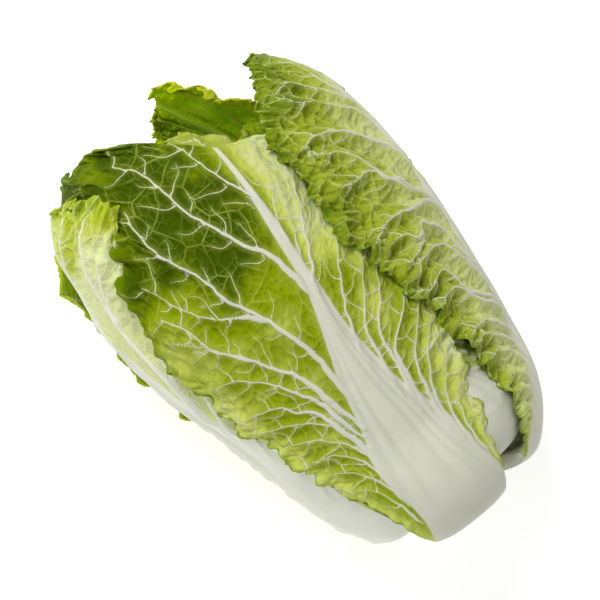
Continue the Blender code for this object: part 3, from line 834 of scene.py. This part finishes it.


# Left leaf
# A very pale leaf round the left of the head, nearly all white veins, with a yellow-green tip. Its
# right side goes under the front leaf. Its pallor is partly its own and partly painted light, for the
# brightly lit left of the head.
LEFT_VEINS = (
    (1.4, (4, 140), (6, 175), (4, 205), (4, 230), (12, 252), (16, 268), (14, 284)),
    (1.1, (12, 200), (10, 228), (18, 256), (29, 270), (36, 286)),
    (1.4, (20, 118), (34, 158), (40, 179), (42, 203), (42, 222), (48, 240), (53, 256), (60, 276)),
    (0.9, (42, 212), (49, 229), (56, 240), (64, 250)),
    (1.1, (22, 128), (31, 151), (38, 165), (50, 183), (60, 196)),
    (0.9, (28, 118), (40, 142), (54, 160), (66, 172)),
    (0.8, (32, 100), (44, 122), (58, 138), (68, 146)),
    (0.7, (36, 84), (46, 102), (60, 114)),
    (0.6, (36, 66), (46, 84), (58, 92)),
)


def left_tone(t, s, x, out):
    return -0.05 + 0.48 * smooth_step(0.82, 0.98, x) + 0.28 * smooth_step(0.78, 1.0, out)


# Its pale and rib colours are near white: partly its own pallor, partly painted light.
leaf_piece(
    "left_leaf", "pale_leaf",
    dict(Pale=(0.80, 0.86, 0.42), Blade=(0.50, 0.60, 0.02), Dark=(0.22, 0.32, 0.004), Rib=(0.88, 0.90, 0.78),
         Groove=(0.72, 0.78, 0.54), Rim=(0.44, 0.56, 0.02), Net=0.8),
    rows=331, columns=171, seed=37, tone=left_tone,
    turn=-89, lean=-2, layer=2.1, reach=0.965, cut=1.02, drop=0.003,
    low=0.076, high=0.072, swell=1.8, blunt=0.65, slant=0.06, lobes=((1, 0.79, 0.10, 0.36),),
    curl=0.021, flare=0.017, flare_from=0.61,
    wave=0.0020, pucker=0.0016, frill=0.0034,
    plain_sides=(-1,), drawn=LEFT_VEINS, vein=0.0029, raised=1.3, twigs=(0.009, 0.015),
    middle=(0, 2, 4, 6, 8, 9, 8, 5, 4, 10, 14), white=(44, 44, 42, 40, 33, 20, 9, 5.5, 4.5, 3, 1),
)


# Back leaf
# The lowest leaf, which the head lies on, with a white rib and a yellow-green blade. It grows on the
# stem under all the others, and its frilly margin shows past the left leaf.
# Its blade, dark and rim colours are bright yellow-green: partly its own colour, partly painted light on
# frills that lie in shade.
leaf_piece(
    "back_leaf", "outer_leaf",
    dict(Pale=(0.62, 0.70, 0.24), Blade=(0.40, 0.52, 0.005), Dark=(0.34, 0.48, 0.002), Rib=RIB_WHITE,
         Groove=RIB_STREAKS_AND_SHADE, Rim=(0.55, 0.68, 0.01), Net=0.5),
    rows=241, columns=131, seed=41, tone=right_tone,
    turn=186, lean=-6, layer=1, reach=0.97, low=0.080, high=0.110,
    swell=1.6, blunt=0.80, slant=0.05, lobes=((1, 0.74, 0.06, 0.22),), curl=0.012, flare=0.004,
    wave=0.0018, pucker=0.0011, frill=0.0026, cell=0.0110, veins=12, vein=0.0018,
)


# Second whorl
# Four leaves in the gaps between the outer ones. The right one's white rib bulges beside the front
# leaf, and the tip of the top one stands out beyond it, with its inner face up.
INNER_COLOURS = dict(Pale=(0.60, 0.68, 0.20), Blade=(0.27, 0.37, 0.002), Dark=(0.14, 0.23, 0.001),
                     Rib=RIB_WHITE, Groove=RIB_STREAKS_AND_SHADE, Rim=(0.36, 0.46, 0.02), Net=0.4)


def inner_tone(t, s, x, out):
    return 0.22 + 0.45 * smooth_step(0.45, 0.95, x) + 0.12 * out


def top_tone(t, s, x, out):
    return 0.38 + 0.55 * smooth_step(-4, 12, t) - 0.24 * smooth_step(-10, -34, t)


leaf_piece(
    "inner_right_leaf", "inner_leaf", INNER_COLOURS, rows=231, columns=121, seed=50, tone=inner_tone,
    turn=44, lean=4, layer=2.2, reach=0.86, low=0.064, high=0.070, clasp=(0.66, 0.72), curl=-0.008,
    bulge=0.008, middle=(0, 0, -4, -17, -26, -28, -24, -18, -12, -6, 0),
    white=(34, 32, 17, 7, 5, 4, 4, 3, 2, 1.5, 1),
)
leaf_piece(
    "inner_left_leaf", "inner_leaf", INNER_COLOURS, rows=141, columns=71, seed=60, tone=inner_tone,
    turn=-46, lean=-4, layer=3.5, reach=0.90, low=0.062, high=0.062, clasp=(0.72, 0.66), curl=-0.004,
    wave=0.00105,
)
# Its blade, pale and rib colours are brighter and yellower than the other inner leaves': partly its own
# yellow-green, partly painted light on a face that lies in shade.
leaf_piece(
    "top_leaf", "inner_leaf",
    dict(Pale=(0.66, 0.76, 0.06), Blade=(0.52, 0.64, 0.006), Dark=(0.12, 0.24, 0.0),
         Rib=(0.66, 0.75, 0.14), Groove=(0.60, 0.70, 0.10), Rim=(0.50, 0.62, 0.006), Net=0.4),
    rows=241, columns=111, coarser=1, seed=70, tone=top_tone, through=1.0,
    turn=138, lean=6, layer=3.2, reach=1.08, low=0.050, high=0.034, blunt=0.75, curl=-0.003,
    full=0.03, ears=((-0.023, 0.011), (0.012, -0.008)),
    wave=0.0026, pucker=0.0016, frill=0.0034, cell=0.0085, vein=0.0012,
)
leaf_piece(
    "inner_back_leaf", "inner_leaf", INNER_COLOURS, rows=141, columns=71, coarser=1, seed=80, tone=inner_tone,
    turn=226, lean=-8, layer=4.3, reach=1.04, low=0.060, high=0.062,
)


# Core leaves
# Four small yellow-green leaves, thin and soft, close round the heart. They grow on the upper end of
# the stem's core, and only their tips can be seen, from the top.
CORE_COLOURS = dict(Pale=(0.72, 0.74, 0.34), Blade=(0.52, 0.60, 0.09), Dark=(0.32, 0.42, 0.02),
                    Rib=(0.80, 0.81, 0.66), Groove=RIB_STREAKS_AND_SHADE, Rim=(0.58, 0.64, 0.10), Net=0.4)
# The turn, layer, reach and half width of each.
CORE_LEAVES = ((0, 5.4, 1.02, 0.052), (180, 5.4, 1.03, 0.052), (92, 6.5, 1.05, 0.046),
               (-88, 6.5, 1.07, 0.046))
for number, (turn, layer, reach, half) in enumerate(CORE_LEAVES, 1):
    leaf_piece(
        f"core_leaf_{number}", "core_leaf", CORE_COLOURS, rows=81, columns=51, coarser=1,
        seed=90 + 10 * number, tone=inner_tone, turn=turn, layer=layer, reach=reach, low=half, high=half,
        blunt=0.80, curl=-0.004, wave=0.0010, pucker=0.0008, frill=0.0018, cell=0.009, veins=7, vein=0.0012,
    )


# Heart
# The youngest leaves, packed in one tight bud. Five of them wrap it, each edge over the next, and
# their ruffled tips stand round a small hollow.
HEART_WALL = ((0.0120, 0.0700), (0.0220, 0.0800), (0.0290, 0.1000), (0.0325, 0.1300), (0.0330, 0.1640),
              (0.0315, 0.1960), (0.0270, 0.2260), (0.0195, 0.2480))
HEART_INSIDE = ((0.0175, 0.2470), (0.0175, 0.2340), (0.0140, 0.2260), (0.0100, 0.2330), (0.0070, 0.2500))
HEART_POLES = (0.0690, 0.2570)
HEART_LEAVES, HEART_SIDES, WALL_RINGS, INSIDE_RINGS = 5, 150, 90, 30
HEART_RADIUS, HEART_CELL, OVERLAP_AT = 0.030, 0.008, 0.94
HEART_COLOURS = dict(Pale=(0.78, 0.78, 0.42), Blade=(0.66, 0.68, 0.16), Dark=(0.48, 0.54, 0.05),
                     Rib=(0.82, 0.82, 0.66), Groove=(0.70, 0.72, 0.46), Rim=(0.66, 0.68, 0.16), Net=0.35)


def turned_mesh(name, rings, pole_heights, marks):
    """A closed solid of rings round the head's axis, with a pole at each end."""
    count, sides = rings.shape[:2]
    index = np.arange(count * sides).reshape(count, sides)
    ahead = np.roll(index, -1, axis=1)
    walls = np.stack([part.reshape(-1) for part in (index[:-1], ahead[:-1], ahead[1:], index[1:])], -1)
    first, last = index.size, index.size + 1
    caps = np.concatenate([
        np.stack([np.full(sides, first), ahead[0], index[0]], -1),
        np.stack([np.full(sides, last), index[-1], ahead[-1]], -1),
    ])
    poles = [lying(np.zeros(1), np.array([height]), np.zeros(1))[0] for height in pole_heights]
    points = np.concatenate([rings.reshape(-1, 3), np.stack(poles) + PLACE])
    mesh = bpy.data.meshes.new(name)
    mesh.from_pydata(points.tolist(), [], walls.tolist() + caps.tolist())
    mesh.shade_smooth()
    add_marks(mesh, marks, [0, -1])

    # The bake map: once round from left to right, and the rings from below to above.
    turn = np.linspace(0.01, 0.99, sides + 1)
    rise = np.linspace(0.03, 0.97, count)
    low_turn, high_turn = np.tile(turn[:-1], count - 1), np.tile(turn[1:], count - 1)
    low_rise, high_rise = np.repeat(rise[:-1], sides), np.repeat(rise[1:], sides)
    corners = [low_turn, low_rise, high_turn, low_rise, high_turn, high_rise, low_turn, high_rise]
    maps = [np.stack(corners, -1)]
    middle = (turn[:-1] + turn[1:]) / 2
    ends = ((0.01, rise[0], turn[1:], turn[:-1]), (0.99, rise[-1], turn[:-1], turn[1:]))
    for pole, ring, one, other in ends:
        level = np.full(sides, ring)
        maps.append(np.stack([middle, np.full(sides, pole), one, level, other, level], -1))
    coordinates = np.concatenate([part.reshape(-1) for part in maps])
    mesh.uv_layers.new(name="OFBake").data.foreach_set("uv", coordinates)
    return mesh


def make_heart():
    a = np.linspace(0, 2 * math.pi, HEART_SIDES, False)
    wall = smooth_line(np.array(HEART_WALL), np.linspace(0, 1, WALL_RINGS))
    inside = smooth_line(np.array(HEART_INSIDE), np.linspace(0, 1, INSIDE_RINGS))
    profile = np.concatenate([wall, inside])
    face = np.concatenate([np.ones(WALL_RINGS), -np.ones(INSIDE_RINGS)])[:, None]
    r, h = profile[:, :1], profile[:, 1:]
    even = np.zeros((len(profile), HEART_SIDES))

    # Each leaf's edge steps over the next one, and the leaves wind a little round the bud.
    wrap = a * HEART_LEAVES / (2 * math.pi) % 1
    wrap = np.where(wrap < OVERLAP_AT, wrap / OVERLAP_AT, (1 - wrap) / (1 - OVERLAP_AT))[None, :]
    twist = a[None, :] + 0.9 * smooth_step(0.08, 0.24, h)
    tips = smooth_step(0.200, 0.230, h)
    lift = 0.012 * tips * np.sin(np.pi * wrap) * (r > 0.012)
    around = a[None, :] * HEART_RADIUS
    ruffle = 0.0012 * tips * waves(around, h, 0.008, 201)
    on_rib = np.exp(-((wrap - 0.5) / 0.16) ** 2) * (1 - smooth_step(0.15, 0.24, h)) * (face > 0)
    ripple = 0.0005 * waves(around, h * 0.6, 0.012, 202)
    radius = r * (1 + 0.07 * (wrap - 0.5) * face) + ruffle + 0.0012 * on_rib + ripple
    height = h + lift
    squash = 1 - (1 - FLATNESS) * smooth_step(ROUND_UP_TO, FLAT_FROM, height)
    rings = lying(radius * np.sin(twist), height, radius * np.cos(twist) * squash) + PLACE

    seam = np.minimum(np.abs(a - math.pi), math.pi)[None, :] * HEART_RADIUS + even
    marks = dict(
        rib=6 * (1 - on_rib) - 1.2 + even, clear=10.0 + even, beside=10.0 + even, thick=even,
        tone=0.15 + 0.6 * tips + even, edge=even, groove=0.5 + even,
        net=np.stack([seam / HEART_CELL, (h + even) / HEART_CELL, even], -1),
    )
    mesh = turned_mesh("heart_fine", rings, HEART_POLES, marks)
    finish_piece(mesh, "heart", leaf_material(mesh.name, HEART_COLOURS, PLAIN_LEAF["through"]))


make_heart()


# Stem
# The short core that all leaves grow on, cut off square at the base. The cut is pale, with a ring
# of fibres and a touch of brown where it has dried.
FINE_STEM_SIDES, STEM_RINGS, CUT_RINGS, CUT_FROM = 80, 70, 12, 0.0010
FIBRE_RING, FIBRE_HALF = 12.5, 3.5


def make_stem():
    a = np.linspace(0, 2 * math.pi, FINE_STEM_SIDES, False)[None, :]
    places = np.array(STEM[1:-1])
    cut = np.column_stack([np.linspace(CUT_FROM, places[0, 0], CUT_RINGS),
                           np.linspace(STEM[0][1], places[0, 1], CUT_RINGS)])
    profile = np.concatenate([cut[:-1], smooth_line(places, np.linspace(0, 1, STEM_RINGS))])
    r, h = profile[:, :1], profile[:, 1:]
    on_cut = smooth_step(0.0045, 0.0030, h)
    rough = 0.00025 * waves(r * np.cos(a), r * np.sin(a), 0.004, 211) * on_cut
    furrow = 0.0004 * np.sin(13 * a + 2 * waves(a * 0.02, h, 0.02, 212))
    furrow = furrow * (1 - on_cut) * smooth_step(0.008, 0.02, h)
    radius = r + furrow
    rings = lying(radius * np.sin(a), h + rough + 0 * a, radius * np.cos(a)) + PLACE
    spot = np.stack([r * np.cos(a), r * np.sin(a), h + 0 * a], -1) * 1000
    marks = dict(cut=on_cut + 0 * a, across=(r + 0 * a) * 1000, spot=spot)
    mesh = turned_mesh("stem_fine", rings, (STEM[0][1], STEM[-1][1]), marks)
    piece = add_object("stem_fine", mesh)
    mesh.materials.append(stem_material())
    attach(piece, "root")
    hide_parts("stem")


def stem_material():
    """Firm pale flesh. The cut has dried in soft brown patches, and bundles of fibres show in a ring."""
    material, shader = new_material("stem_fine")
    tree = material.node_tree
    marks = {key: node(tree, "ShaderNodeAttribute", attribute_name=key) for key in ("cut", "across", "spot")}
    spot = marks["spot"].outputs["Vector"]
    blotch = noise(tree, spot, Scale=0.10, Detail=2.0)
    grain = noise(tree, spot, Scale=1.6, Detail=3.0)
    dots = node(tree, "ShaderNodeTexVoronoi", {"Vector": spot, "Scale": 1.1}).outputs["Distance"]
    from_ring = calculated(tree, "SUBTRACT", marks["across"].outputs["Fac"], FIBRE_RING)
    ring = ranged(tree, calculated(tree, "ABSOLUTE", from_ring), 0.0, FIBRE_HALF, 1.0, 0.0)
    bundle = calculated(tree, "MULTIPLY", ranged(tree, dots, 0.15, 0.35, 1.0, 0.0), ring)
    flesh = mixed(tree, ranged(tree, blotch, 0.35, 0.7), (0.76, 0.76, 0.58, 1), (0.70, 0.68, 0.47, 1))
    dried = mixed(tree, ranged(tree, blotch, 0.42, 0.66, 0.0, 0.5), flesh, (0.50, 0.38, 0.19, 1))
    dried = mixed(tree, ranged(tree, grain, 0.48, 0.72, 0.0, 0.3), dried, (0.52, 0.44, 0.24, 1))
    dried = mixed(tree, calculated(tree, "MULTIPLY", bundle, 0.5), dried, (0.58, 0.55, 0.28, 1))
    colour = mixed(tree, marks["cut"].outputs["Fac"], flesh, dried)
    roughness = ranged(tree, grain, 0.3, 0.7, 0.5, 0.7)
    link_look(tree, shader, colour, roughness, grain, strength=0.4, distance=0.0003)
    return material


make_stem()
